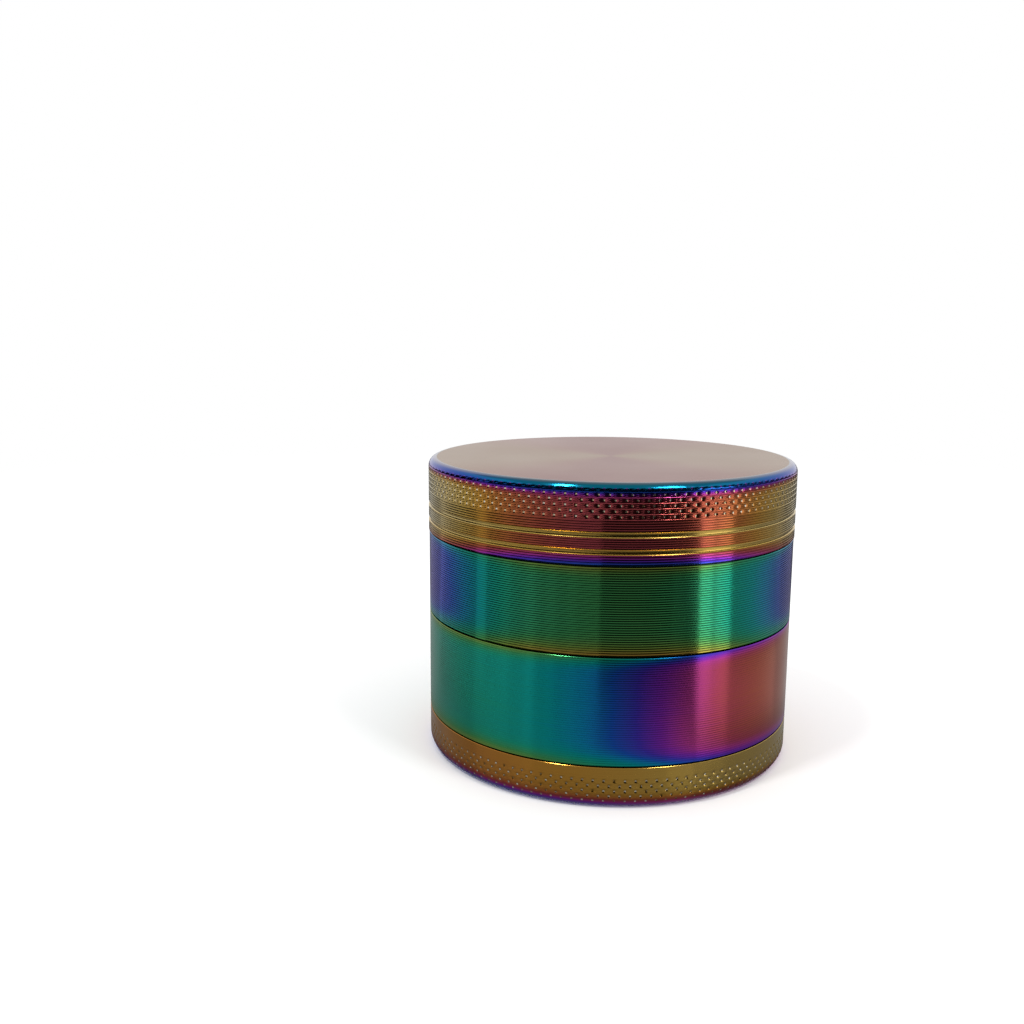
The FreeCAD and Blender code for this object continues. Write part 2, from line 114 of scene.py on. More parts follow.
# Colour that the oxide film reflects as it grows thicker, from straw through magenta, blue and green.
FILM_COLOURS = (
    (0.00, "#AEA890"), (0.08, "#B8A56E"), (0.16, "#C3A04E"), (0.22, "#BF8A38"),
    (0.28, "#BA6E3C"), (0.33, "#AE5444"), (0.37, "#B0465E"), (0.42, "#B84096"),
    (0.47, "#8C34BC"), (0.52, "#4E3EC6"), (0.57, "#2460CC"), (0.62, "#1690C0"),
    (0.67, "#10A0A0"), (0.73, "#22A484"), (0.80, "#469C5C"), (0.87, "#7E9A44"),
    (0.94, "#B08C40"), (1.00, "#B06A54"),
)


class Film(NamedTuple):
    """Film thickness over a part, from 0 to 1 on the colour scale: a wave round it, and steps near edges."""

    mean: float
    swing: float
    lobes: int  # waves in one turn
    turn: float  # angle in degrees at which a wave starts
    steep: float  # how square the wave is
    edges: tuple  # height, gain and width of each step; a negative width thickens the film downwards
    rim: tuple = ()  # height and width of a step into one even thickness, that thickness, and its share; the step also places painted shade on the rim


# The lid's rim step also sets where painted shade darkens the rim.
LID_FILM = Film(0.20, 0.145, 2, -41, 1.2, ((39.2, 0.26, -0.9),), (49.1, 0.65, 0.76, 0.72))
LID_TOP_FILM = Film(0.25, 0.06, 2, -41, 1.2, ())
GROOVE_FILM = LID_FILM._replace(mean=0.12, swing=0.03)
TRAY_FILM = Film(0.655, 0.145, 2, -42, 1.2, ((37.6, 0.11, 0.9), (25.2, 0.20, -1.6)))
CHAMBER_FILM = Film(0.515, -0.205, 1, 9, 2.2, ((23.6, 0.20, 1.0), (7.6, 0.22, -1.5)))
BASE_FILM = Film(0.183, -0.065, 1, 9, 2.0, ((1.45, 0.32, -0.8),))
DRIFT, STREAKS = 0.05, 0.03  # how far slow patches and fine streaks change a film's thickness
STREAK_ROUND, STREAK_UP = 60.0, 5200.0  # fine streaks to the metre, round a part and up it
RIM_PAINTED_SHADE = 0.5  # share of painted shade that darkens the rim's colour towards near black
RIM_PALE_FROM, PALE_OVER = 50.35, 0.35  # where the rim starts to pale towards the top, and over what height
PAINTED_EDGE_OVER = 0.15  # width of the painted highlight along the outer edge of the top
VIOLET_OVER = 0.3  # height over which the dents on the rim turn violet

# Finishes of one part, in the order of its materials
COAT, PAINTED_GLINT, GROOVE, TOP = 0, 1, 2, 3


class Row(NamedTuple):
    """One ring of a turned profile, and how it meets the next one."""

    radius: float
    height: float
    cut: float = 0.0  # depth of a turned line at this ring
    ridge: bool = False  # a crisp line round the part
    finish: int = COAT  # material of the faces down to the next ring
    joined: bool = True  # False where a knurled band takes the place of those faces


class Wire:
    """A number in a node tree. Arithmetic on it adds math nodes."""

    def __init__(self, tree, socket):
        self.tree = tree
        self.socket = socket

    def math(self, operation, *others):
        values = [self.socket] + [one.socket if isinstance(one, Wire) else one for one in others]
        made = add(self.tree, "ShaderNodeMath", enumerate(values), operation=operation)
        return Wire(self.tree, made.outputs[0])

    def __add__(self, other):
        return self.math("ADD", other)

    def __sub__(self, other):
        return self.math("SUBTRACT", other)

    def __mul__(self, other):
        return self.math("MULTIPLY", other)

    def __truediv__(self, other):
        return self.math("DIVIDE", other)

    def __neg__(self):
        return self.math("MULTIPLY", -1.0)

    def clamped(self):
        return self.math("MAXIMUM", 0.0).math("MINIMUM", 1.0)


def linear(colour):
    """Linear RGBA of an sRGB hex colour."""
    parts = [int(colour[i:i + 2], 16) / 255 for i in (1, 3, 5)]
    return [p / 12.92 if p <= 0.04045 else ((p + 0.055) / 1.055) ** 2.4 for p in parts] + [1.0]


def add(tree, kind, inputs=(), **settings):
    """Adds a node with its settings, and sets or links its inputs by name or number."""
    made = tree.nodes.new(kind)
    for name, value in settings.items():
        setattr(made, name, value)
    for name, value in dict(inputs).items():
        several = isinstance(value, list) and isinstance(value[0], bpy.types.NodeSocket)
        sources = value if several else [value]
        for source in sources:
            if isinstance(source, bpy.types.NodeSocket):
                tree.links.new(source, made.inputs[name])
            else:
                made.inputs[name].default_value = source
    return made


def geo(tree, kind, inputs=(), **settings):
    """Adds a geometry node, and gives its first output."""
    return add(tree, "GeometryNode" + kind, inputs, **settings).outputs[0]


def mesh_of(name, verts, faces):
    """Mesh from points in metres."""
    mesh = bpy.data.meshes.new(name)
    mesh.from_pydata(verts, [], faces)
    return mesh


def linked(name, data):
    """Object in the scene."""
    made = bpy.data.objects.new(name, data)
    bpy.context.scene.collection.objects.link(made)
    return made


# Profiles


def arc(centre_r, centre_z, radius, start, end, steps=6):
    """Rows along an arc, from one angle to another in degrees above the outward direction."""
    angles = [math.radians(start + (end - start) * i / steps) for i in range(steps + 1)]
    return [Row(centre_r + radius * math.cos(a), centre_z + radius * math.sin(a)) for a in angles]


def turned_lines(radius, top, bottom, pitch, depth):
    """Rows of the shallow scallops that the tool leaves, from top to bottom."""
    count = max(1, round((top - bottom) / pitch))
    step = (top - bottom) / count
    rows = []
    for i in range(count):
        rows += [Row(radius, top - i * step, ridge=True), Row(radius, top - (i + 0.5) * step, cut=depth)]
    return rows + [Row(radius, bottom, ridge=True)]


def lined_wall(top, bottom, lines, share=1.0):
    """Outer wall of a band with its turned lines, between two broken edges."""
    wall = turned_lines(OUTER_R, top - EDGE_BREAK, bottom + SEAM, lines.pitch / MM, lines.depth / MM * share)
    return [Row(OUTER_R - EDGE_BREAK, top), *wall, Row(OUTER_R - SEAM, bottom)]


def groove(radius, middle):
    """Rows of a round-bottomed groove, from its upper edge to its lower edge."""
    half = GROOVE_WIDTH / 2
    sag = half / 2
    flank = GROOVE_DEPTH - sag
    bed = [
        Row(radius - flank - sag * math.sin(a), middle + half * math.cos(a), finish=GROOVE)
        for a in (math.pi * i / 8 for i in range(9))
    ]
    upper = Row(radius, middle + half, ridge=True, finish=GROOVE)
    return [upper, *bed, Row(radius, middle - half, ridge=True)]


def turned(rows, segments, loop=False, fade=None):
    """Mesh turned round Z from rows that run over the top, down the outside and back underneath."""
    verts, rings = [], []
    angles = [math.tau * j / segments for j in range(segments)]
    for row in rows:
        if row.radius < WELD / MM:
            rings.append([len(verts)])
            verts.append((0, 0, row.height * MM))
            continue
        rings.append(list(range(len(verts), len(verts) + segments)))
        for a in angles:
            r = (row.radius - row.cut * (fade(a) if fade else 1)) * MM
            verts.append((r * math.sin(a), -r * math.cos(a), row.height * MM))
    faces, finishes = [], []
    last = len(rows) if loop else len(rows) - 1
    for i in range(last):
        if not rows[i].joined:
            continue
        upper, lower = rings[i], rings[(i + 1) % len(rows)]
        for j in range(segments):
            k = (j + 1) % segments
            if len(upper) == 1:
                face = (upper[0], lower[j], lower[k])
            elif len(lower) == 1:
                face = (upper[j], lower[0], upper[k])
            else:
                face = (upper[j], lower[j], lower[k], upper[k])
            faces.append(face)
            finishes.append(rows[i].finish)
    mesh = mesh_of("turned", verts, faces)
    mesh.shade_smooth()
    mesh.polygons.foreach_set("material_index", finishes)
    ring_of = np.repeat(np.arange(len(rows)), [len(ring) for ring in rings])
    crisp = np.array([row.ridge or not row.cut and bends(rows, i, loop) for i, row in enumerate(rows)])
    ends = np.empty(len(mesh.edges) * 2, int)
    mesh.edges.foreach_get("vertices", ends)
    ends = ring_of[ends.reshape(-1, 2)]
    sharp = (ends[:, 0] == ends[:, 1]) & crisp[ends[:, 0]]
    mesh.attributes.new("sharp_edge", "BOOLEAN", "EDGE").data.foreach_set("value", sharp)
    return mesh


def bends(rows, i, loop):
    """True where a profile turns sharply at row i."""
    if not loop and i in (0, len(rows) - 1):
        return False
    before, here, after = rows[i - 1], rows[i], rows[(i + 1) % len(rows)]
    a = Vector((here.radius - here.cut - before.radius + before.cut, here.height - before.height))
    b = Vector((after.radius - after.cut - here.radius + here.cut, after.height - here.height))
    return a.length > 0 and b.length > 0 and a.angle(b) > SHARP_TURN


def tooth(plan, root, tip, bevel=0.35, slope=0.6, blunting=0.06):
    """A tapering tooth with a bevelled tip and blunted corners, on a plan given anticlockwise from above."""
    cx = sum(x for x, _ in plan) / len(plan)
    cy = sum(y for _, y in plan) / len(plan)
    reach = min(math.hypot(x - cx, y - cy) for x, y in plan)
    length = abs(tip - root)
    way = math.copysign(1, tip - root)
    blunt = []
    for i, (x, y) in enumerate(plan):
        for nx, ny in (plan[i - 1], plan[(i + 1) % len(plan)]):
            blunt.append((x + (nx - x) * blunting, y + (ny - y) * blunting))
    levels = [(root, 0.0), (tip - way * bevel, (length - bevel) * math.tan(TOOTH_DRAFT))]
    levels.append((tip, length * math.tan(TOOTH_DRAFT) + bevel * slope))
    verts = []
    for z, inset in levels:
        scale = 1 - inset / reach
        verts += [(cx + (x - cx) * scale, cy + (y - cy) * scale, z) for x, y in blunt]
    n = len(blunt)
    faces = [tuple(range(n)), tuple(range(2 * n, 3 * n))]
    for low in (0, n):
        faces += [(low + i, low + (i + 1) % n, low + n + (i + 1) % n, low + n + i) for i in range(n)]
    return mesh_of("tooth", [Vector(v) * MM for v in verts], faces)


def diamond(radius):
    """Plan of a tooth on a circle, with its points along that circle."""
    wide, long = TOOTH_WIDTH / 2, TOOTH_LENGTH / 2
    return [(radius + wide, 0), (radius, long), (radius - wide, 0), (radius, -long)]


def dent_tile(knurl, line_depth):
    """One pitch of a knurled row: three turned lines, their depth in metres, with a dent in the middle."""
    pitch = math.tau * OUTER_R * MM / knurl.dents
    wide, high = knurl.dent_width / 2 / pitch, knurl.dent_height / 2 / knurl.row_height
    flank, edge = 0.55 * wide, 1.1 * wide
    columns = (-0.5, -edge, -flank, 0, flank, edge, 0.5)
    verts, presses, levels, rings = [], [], [], []
    for i in range(7):
        v = i / 6 - 0.5
        ring = (-0.5, 0, 0.5) if i in (0, 6) else columns
        rings.append(range(len(verts), len(verts) + len(ring)))
        for u in ring:
            press = max(0.0, 1 - (u / wide) ** 2 - (v / high) ** 2)
            cut = line_depth if i % 2 else 0.0
            verts.append((u, v, -press * knurl.dent_depth - (1 - press) * cut))
            presses.append(press)
            levels.append(i)
    faces = []
    for low, high_ring in zip(rings[1:-2], rings[2:-1]):
        faces += [(low[j], low[j + 1], high_ring[j + 1], high_ring[j]) for j in range(6)]
    for border, inner in ((rings[0], rings[1]), (rings[-1], rings[-2])):
        faces += [(border[0], border[1], *inner[3::-1]), (border[1], border[2], *inner[6:2:-1])]
    mesh = mesh_of("dent", verts, faces)
    mesh.shade_smooth()
    sharp = []
    for line in mesh.edges:
        a, b = line.vertices
        sharp.append(levels[a] == levels[b] and levels[a] % 2 == 0 and presses[a] + presses[b] == 0)
    mesh.attributes.new("sharp_edge", "BOOLEAN", "EDGE").data.foreach_set("value", sharp)
    # Only the faces in the middle of the dent get the painted glint.
    finishes = [PAINTED_GLINT if sum(presses[v] for v in face) > len(face) / 3 else COAT for face in faces]
    mesh.attributes.new("finish", "INT", "FACE").data.foreach_set("value", finishes)
    return mesh


# Geometry node trees for what repeats or follows a path


def new_tree(name, inputs):
    """A geometry tree with named inputs; returns it and its input sockets."""
    tree = bpy.data.node_groups.new(name, "GeometryNodeTree")
    tree.is_modifier = True
    tree.interface.new_socket("Geometry", in_out="OUTPUT", socket_type="NodeSocketGeometry")
    tree.interface.new_socket("Geometry", in_out="INPUT", socket_type="NodeSocketGeometry")
    for label, kind in inputs:
        tree.interface.new_socket(label, in_out="INPUT", socket_type="NodeSocket" + kind)
    tree.interface.new_socket("Material", in_out="INPUT", socket_type="NodeSocketMaterial")
    return tree, add(tree, "NodeGroupInput").outputs


def close_tree(tree, given, geometry):
    """Ends a tree in real geometry with its material."""
    real = geo(tree, "RealizeInstances", {"Geometry": geometry})
    dressed = geo(tree, "SetMaterial", {"Geometry": real, "Material": given["Material"]})
    add(tree, "NodeGroupOutput", {"Geometry": dressed})
    return tree


def spot(tree, x, y, z):
    """Vector socket from three numbers of a tree."""
    parts = [one.socket if isinstance(one, Wire) else one for one in (x, y, z)]
    return add(tree, "ShaderNodeCombineXYZ", enumerate(parts)).outputs[0]


def counter(tree):
    """Number of the point or instance that a tree works on."""
    return Wire(tree, geo(tree, "InputIndex"))


def knurl_tree():
    """Presses staggered rows of dents into a band, which follows the rounding of a rim or a foot."""
    numbers = ("Row height", "Radius", "Lowest row", "Rim start", "Foot end", "Rounding")
    counts = [("Dents", "Int"), ("Rows", "Int")]
    tree, given = new_tree("Knurled band", counts + [(n, "Float") for n in numbers])
    dents, rows, row_height, radius, lowest, rim_start, foot_end, rounding = [
        Wire(tree, given[n]) for n in ("Dents", "Rows", *numbers)
    ]
    index = counter(tree)
    row = (index / dents).math("FLOOR")
    column = index.math("MODULO", dents) + row.math("MODULO", 2.0) * 0.5
    places = geo(tree, "Points", {"Count": (dents * rows).socket, "Position": spot(tree, column, row, 0.0)})
    tiles = geo(tree, "InstanceOnPoints", {"Points": places, "Instance": given["Geometry"]})
    sheet = geo(tree, "RealizeInstances", {"Geometry": tiles})
    here = add(tree, "ShaderNodeSeparateXYZ", {0: geo(tree, "InputPosition")})
    across, up, depth = [Wire(tree, socket) for socket in here.outputs]
    height = up * row_height + lowest
    over = (height - rim_start).math("MAXIMUM", 0.0) + (foot_end - height).math("MAXIMUM", 0.0)
    drop = rounding - (rounding * rounding - over * over).math("SQRT")
    faint = -(height - rim_start) / (rounding * FAINT_OVER) + 1.0
    faint = faint.math("MINIMUM", 1.0).math("MAXIMUM", FAINTEST)
    reach = radius + depth * faint - drop
    angle = across * math.tau / dents
    wrapped = geo(tree, "SetPosition", {
        "Geometry": sheet,
        "Position": spot(tree, reach * angle.math("SINE"), -reach * angle.math("COSINE"), height),
    })
    welded = geo(tree, "MergeByDistance", {"Geometry": wrapped, "Distance": WELD})
    return close_tree(tree, given, welded)


def ring_tree():
    """Repeats a tooth evenly round the axis."""
    tree, given = new_tree("Ring of teeth", [("Count", "Int"), ("First angle", "Float")])
    index = counter(tree)
    angle = index * math.tau / Wire(tree, given["Count"]) + Wire(tree, given["First angle"])
    places = geo(tree, "Points", {"Count": given["Count"]})
    teeth = geo(tree, "InstanceOnPoints", {
        "Points": places, "Instance": given["Geometry"], "Rotation": spot(tree, 0.0, 0.0, angle),
    })
    return close_tree(tree, given, teeth)


def thread_tree():
    """Winds a trapezoid ridge round the axis as a screw thread. A negative depth points it inwards."""
    numbers = ("Radius", "Start height", "Turns", "Pitch", "Depth", "Root", "Base", "Crest")
    tree, given = new_tree("Screw thread", [(n, "Float") for n in numbers])
    radius, start, turns, pitch, depth, root, base, crest = [Wire(tree, given[n]) for n in numbers]
    line = geo(tree, "CurvePrimitiveLine")
    fine = geo(tree, "ResampleCurve", {"Curve": line, "Count": 120})
    along = Wire(tree, geo(tree, "SplineParameter")) * turns
    angle = along * math.tau
    x, y = radius * angle.math("COSINE"), radius * angle.math("SINE")
    helix = geo(tree, "SetPosition", {
        "Geometry": fine, "Position": spot(tree, x, y, start + along * pitch),
    })
    upright = geo(tree, "SetCurveNormal", {"Curve": helix}, mode="Z_UP")
    section = geo(tree, "CurvePrimitiveQuadrilateral", {
        "Point 1": spot(tree, root, base * 0.5, 0.0), "Point 2": spot(tree, depth, crest * 0.5, 0.0),
        "Point 3": spot(tree, depth, crest * -0.5, 0.0), "Point 4": spot(tree, root, base * -0.5, 0.0),
    }, mode="POINTS")
    ridge = geo(tree, "CurveToMesh", {"Curve": upright, "Profile Curve": section, "Fill Caps": True})
    return close_tree(tree, given, ridge)


def floor_tree():
    """A round plate drilled with two rings of holes."""
    numbers = ("Radius", "Thickness", "Underside", "Hole radius", "Inner circle", "Outer circle")
    counts = ("Inner holes", "Outer holes")
    tree, given = new_tree("Drilled floor", [(n, "Float") for n in numbers] + [(n, "Int") for n in counts])
    index = counter(tree)
    edge = geo(tree, "CurvePrimitiveCircle", {"Resolution": 120, "Radius": given["Radius"]})
    hole = geo(tree, "CurvePrimitiveCircle", {"Resolution": 28, "Radius": given["Hole radius"]})
    curves = [edge]
    for ring in ("Inner", "Outer"):
        count, circle = given[ring + " holes"], Wire(tree, given[ring + " circle"])
        angle = index * math.tau / Wire(tree, count)
        x, y = circle * angle.math("COSINE"), circle * angle.math("SINE")
        places = geo(tree, "Points", {"Count": count, "Position": spot(tree, x, y, 0.0)})
        holes = geo(tree, "InstanceOnPoints", {"Points": places, "Instance": hole})
        curves.append(geo(tree, "RealizeInstances", {"Geometry": holes}))
    outline = geo(tree, "JoinGeometry", {"Geometry": curves})
    under = geo(tree, "FillCurve", {"Curve": outline}, mode="TRIANGLES")
    raised = geo(tree, "ExtrudeMesh", {
        "Mesh": under, "Offset": spot(tree, 0.0, 0.0, Wire(tree, given["Thickness"])), "Individual": False,
    })
    flipped = geo(tree, "FlipFaces", {"Mesh": under})
    both = geo(tree, "JoinGeometry", {"Geometry": [raised, flipped]})
    welded = geo(tree, "MergeByDistance", {"Geometry": both, "Distance": WELD})
    placed = geo(tree, "Transform", {
        "Geometry": welded, "Translation": spot(tree, 0.0, 0.0, Wire(tree, given["Underside"])),
    })
    return close_tree(tree, given, placed)


def screen_tree():
    """Weaves two sets of wires over and under each other inside a circle."""
    numbers = ("Radius", "Pitch", "Wire radius", "Middle height")
    tree, given = new_tree("Woven screen", [(n, "Float") for n in numbers])
    radius, pitch, wire, middle = [Wire(tree, given[n]) for n in numbers]
    reach = (radius / pitch).math("FLOOR")
    index = counter(tree)
    across = (index - reach) * pitch
    half = (radius * radius - across * across).math("SQRT")
    places = geo(tree, "Points", {
        "Count": (reach * 2.0 + 1.0).socket, "Position": spot(tree, across, 0.0, 0.0),
    })
    line = geo(tree, "CurvePrimitiveLine", {"Start": (0, -1, 0), "End": (0, 1, 0)})
    laid = geo(tree, "InstanceOnPoints", {
        "Points": places, "Instance": line, "Scale": spot(tree, 1.0, half, 1.0),
    })
    real = geo(tree, "RealizeInstances", {"Geometry": laid})
    fine = geo(tree, "ResampleCurve", {"Curve": real, "Length": (pitch * 0.5).socket}, mode="LENGTH")
    here = add(tree, "ShaderNodeSeparateXYZ", {0: geo(tree, "InputPosition")})
    x, y = [Wire(tree, socket) for socket in here.outputs[:2]]
    wave = ((x + y) * math.pi / pitch).math("COSINE") * wire
    warp = geo(tree, "SetPosition", {"Geometry": fine, "Offset": spot(tree, 0.0, 0.0, wave)})
    weft = geo(tree, "Transform", {"Geometry": warp, "Rotation": (0, 0, math.pi / 2), "Scale": (1, 1, -1)})
    wires = geo(tree, "JoinGeometry", {"Geometry": [warp, weft]})
    section = geo(tree, "CurvePrimitiveCircle", {"Resolution": 5, "Radius": wire.socket})
    cloth = geo(tree, "CurveToMesh", {"Curve": wires, "Profile Curve": section, "Fill Caps": True})
    placed = geo(tree, "Transform", {"Geometry": cloth, "Translation": spot(tree, 0.0, 0.0, middle)})
    return close_tree(tree, given, placed)


def grown(tree, source=None, **values):
    """Plain mesh that a tree makes, with its inputs set by name in metres."""
    holder = linked("grown", source or bpy.data.meshes.new("seed"))
    modifier = holder.modifiers.new("tree", "NODES")
    modifier.node_group = tree
    for item in tree.interface.items_tree:
        key = item.name.lower().replace(" ", "_")
        if item.in_out == "INPUT" and key in values:
            modifier[item.identifier] = values[key]
    evaluated = holder.evaluated_get(bpy.context.evaluated_depsgraph_get())
    mesh = bpy.data.meshes.new_from_object(evaluated)
    bpy.data.objects.remove(holder)
    finishes = np.full(len(mesh.polygons), COAT)
    marked = mesh.attributes.get("finish")
    if marked:
        marked.data.foreach_get("value", finishes)
        mesh.attributes.remove(marked)
    mesh.polygons.foreach_set("material_index", finishes)
    return mesh


def thread(radius, start, material, inwards=False):
    """A screw thread on a spigot, or in a socket if it points inwards."""
    way = -1 if inwards else 1
    return grown(
        thread_tree(), material=material, radius=radius * MM, start_height=start * MM, turns=THREAD_TURNS,
        pitch=THREAD_PITCH * MM, depth=way * THREAD_DEPTH * MM, root=-way * ROOT * MM,
        base=THREAD_BASE * MM, crest=THREAD_CREST * MM,
    )


def knurled(knurl, rows, radius, lowest, material, line_depth, rim_start, foot_end, rounding):
    """The dented band of a part, which leaves its wall above the rim's start or below the foot's end."""
    return grown(
        knurl_tree(), dent_tile(knurl, line_depth * MM), material=material, dents=knurl.dents, rows=rows,
        row_height=knurl.row_height, radius=radius * MM, lowest_row=lowest * MM,
        rim_start=rim_start * MM, foot_end=foot_end * MM, rounding=rounding * MM,
    )


def ring_of_teeth(source, count, material, first=0.0):
    """Teeth round the axis, the first at an angle in degrees."""
    return grown(ring_tree(), source, material=material, count=count, first_angle=math.radians(first))


def finished(name, body, nodes, meshes, materials):
    """Welds meshes into one closed piece that rides on a body and stands for solids."""
    piece = bmesh.new()
    for mesh in meshes:
        piece.from_mesh(mesh)
        bpy.data.meshes.remove(mesh)
    bmesh.ops.remove_doubles(piece, verts=piece.verts, dist=WELD)
    bmesh.ops.recalc_face_normals(piece, faces=piece.faces)
    mesh = bpy.data.meshes.new(name)
    piece.to_mesh(mesh)
    piece.free()
    for material in materials:
        mesh.materials.append(material)
    made = linked(name, mesh)
    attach(made, body)
    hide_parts(*nodes)


# Materials


def new_material(name, metallic, roughness):
    """A material with its shader, and its tree."""
    made = bpy.data.materials.new(name)
    made.use_nodes = True
    shader = made.node_tree.nodes["Principled BSDF"]
    shader.inputs["Metallic"].default_value = metallic
    shader.inputs["Roughness"].default_value = roughness
    return made, made.node_tree, shader


def place_in(tree):
    """Object coordinates of a material as three numbers in metres, and as a vector."""
    where = add(tree, "ShaderNodeTexCoord").outputs["Object"]
    return [Wire(tree, s) for s in add(tree, "ShaderNodeSeparateXYZ", {0: where}).outputs], where


def colours(tree, value, stops):
    """Colour socket of a ramp through hex colours."""
    ramp = add(tree, "ShaderNodeValToRGB", {0: value.socket})
    points = ramp.color_ramp.elements
    while len(points) < len(stops):
        points.new(0.5)
    for point, (position, colour) in zip(points, stops):
        point.position = position
        point.color = linear(colour)
    return ramp.outputs[0]


def rise(z, height, width):
    """A soft step from 0 to 1 at a height in millimetres; a negative width turns it over."""
    return ((z - height * MM) / (width * MM)).math("TANH") * 0.5 + 0.5


def film_thickness(film, x, y, z):
    """Thickness of the oxide film at a point of the part."""
    angle = x.math("ARCTAN2", -y) - math.radians(film.turn)
    wave = ((angle * film.lobes).math("SINE") * film.steep).math("TANH") / math.tanh(film.steep)
    thickness = wave * film.swing + film.mean
    for height, gain, width in film.edges:
        thickness = thickness + rise(z, height, width) * gain
    if film.rim:
        height, width, even, share = film.rim
        thickness = thickness + (-thickness + even) * rise(z, height, width) * share
    return thickness


def noise(tree, where, scale, detail=2.0):
    """Random patches from 0 to 1, as many to the metre as the scale says."""
    made = add(tree, "ShaderNodeTexNoise", {"Vector": where, "Scale": scale, "Detail": detail})
    return Wire(tree, made.outputs[0])


def blend(tree, share, first, second):
    """Colour socket between two colours, by a share from 0 to 1."""
    inputs = {"Factor": share.socket, 6: first, 7: second}
    return add(tree, "ShaderNodeMix", inputs, data_type="RGBA").outputs[2]


def join(tree, shader, sockets):
    """Links sockets to a shader's inputs by name."""
    for name, socket in sockets.items():
        tree.links.new(socket, shader.inputs[name])


def rainbow_coating(name, film, roughness, stretch, pale=0.0, pale_from=0.0, painted_edge_from=None):
    """Oxide film over turned aluminium: a hard metal gloss drawn out across the tool's lines.

    The colour follows the film's thickness; slow drifts in it and fine streaks along the lines keep it from
    looking painted. A film with a rim gets painted shade there, darkening its colour. It pales above one
    height, and a painted highlight lightens it to a pale line outside one radius.
    """
    made, tree, shader = new_material(name, 1.0, roughness)
    (x, y, z), where = place_in(tree)
    drift = noise(tree, where, 45.0)
    streak = noise(tree, spot(tree, x * STREAK_ROUND, y * STREAK_ROUND, z * STREAK_UP), 1.0, 3.0)
    thickness = film_thickness(film, x, y, z) + (drift - 0.5) * DRIFT + (streak - 0.5) * STREAKS
    tint = colours(tree, thickness, FILM_COLOURS)
    # Painted shade: the colour on the rim is darkened towards near black.
    if film.rim:
        tint = blend(tree, rise(z, *film.rim[:2]) * RIM_PAINTED_SHADE, tint, linear("#0A0A14"))
    if pale:
        share = ((z - pale_from * MM) / (PALE_OVER * MM)).clamped() * pale
        tint = blend(tree, share, tint, linear("#827577"))
    # Painted highlight: a pale line along the edge where the flat top meets its rounding.
    if painted_edge_from:
        painted_edge = ((x * x + y * y).math("SQRT") - painted_edge_from * MM) / (PAINTED_EDGE_OVER * MM)
        tint = blend(tree, painted_edge.clamped(), tint, linear("#A9B4BA"))
    grain = noise(tree, where, 9000.0)
    gloss = streak * 0.10 + grain * 0.06 + (roughness - 0.08)
    bump = add(tree, "ShaderNodeBump", {"Height": grain.socket, "Strength": 0.06, "Distance": 0.02 * MM})
    around = add(tree, "ShaderNodeTangent", direction_type="RADIAL", axis="Z")
    shader.inputs["Anisotropic"].default_value = stretch
    shader.inputs["Anisotropic Rotation"].default_value = 0.25
    join(tree, shader, {
        "Base Color": tint, "Roughness": gloss.socket,
        "Normal": bump.outputs[0], "Tangent": around.outputs[0],
    })
    return made


def painted_glints(name, dull, light, violet_from=LID_TOP):
    """Painted highlight for the middles of the dents: small cream glints painted among the coated metal.

    Above a height in millimetres these painted glints are tinted violet by the film of the rim round them.
    """
    made, tree, shader = new_material(name, 1.0, 0.2)
    (_, _, z), where = place_in(tree)
    patch = noise(tree, where, 1500.0)
    cream = colours(tree, patch, ((0.38, dull), (0.62, light)))
    coated = ((z - violet_from * MM) / (VIOLET_OVER * MM)).clamped()
    tint = blend(tree, coated, cream, linear("#7A4CB8"))
    join(tree, shader, {"Base Color": tint, "Roughness": (patch * 0.1 + 0.15).socket})
    return made


def brushed(name, colour, roughness, metallic=1.0):
    """A fine drawn or moulded finish in one colour, with faint lighter and darker streaks in it."""
    made, tree, shader = new_material(name, metallic, roughness)
    streak = noise(tree, place_in(tree)[1], 900.0, 4.0)
    tint = blend(tree, streak, darker(colour, 0.72), list(colour))
    gloss = streak * 0.2 + (roughness - 0.1)
    bump = add(tree, "ShaderNodeBump", {"Height": streak.socket, "Strength": 0.15, "Distance": 0.02 * MM})
    join(tree, shader, {"Base Color": tint, "Roughness": gloss.socket, "Normal": bump.outputs[0]})
    return made


def darker(colour, share):
    """A share of a colour's light."""
    return [c * share for c in colour[:3]] + [1.0]


# Settings


class GrinderKnurl(bpy.types.PropertyGroup):
    """Size of the dents pressed into the lid's rim and the base."""

    dents: bpy.props.IntProperty(name="Dents round", description="Dents in one row", default=120, min=24)
    lid_rows: bpy.props.IntProperty(
        name="Lid rows", description="Rows of dents on the lid", default=6, min=1)
    base_rows: bpy.props.IntProperty(
        name="Base rows", description="Rows of dents on the base", default=5, min=1)
    row_height: bpy.props.FloatProperty(
        name="Row height", description="Height of one row", default=0.83 * MM, unit="LENGTH", precision=5)
    dent_width: bpy.props.FloatProperty(
        name="Dent width", description="Width of a dent", default=0.56 * MM, unit="LENGTH", precision=5)
    dent_height: bpy.props.FloatProperty(
        name="Dent height", description="Height of a dent", default=0.52 * MM, unit="LENGTH", precision=5)
    dent_depth: bpy.props.FloatProperty(
        name="Dent depth", description="Depth of a dent", default=0.15 * MM, unit="LENGTH", precision=5)


class GrinderLines(bpy.types.PropertyGroup):
    """Feed lines that the turning tool leaves."""

    pitch: bpy.props.FloatProperty(
        name="Pitch", description="Spacing of the lines", default=0.355 * MM, unit="LENGTH", precision=5)
    depth: bpy.props.FloatProperty(
        name="Depth", description="Depth of the tray's lines", default=0.1 * MM, unit="LENGTH", precision=5)
    screen_pitch: bpy.props.FloatProperty(
        name="Screen pitch", description="Spacing of wires", default=1.3 * MM, unit="LENGTH", precision=5)


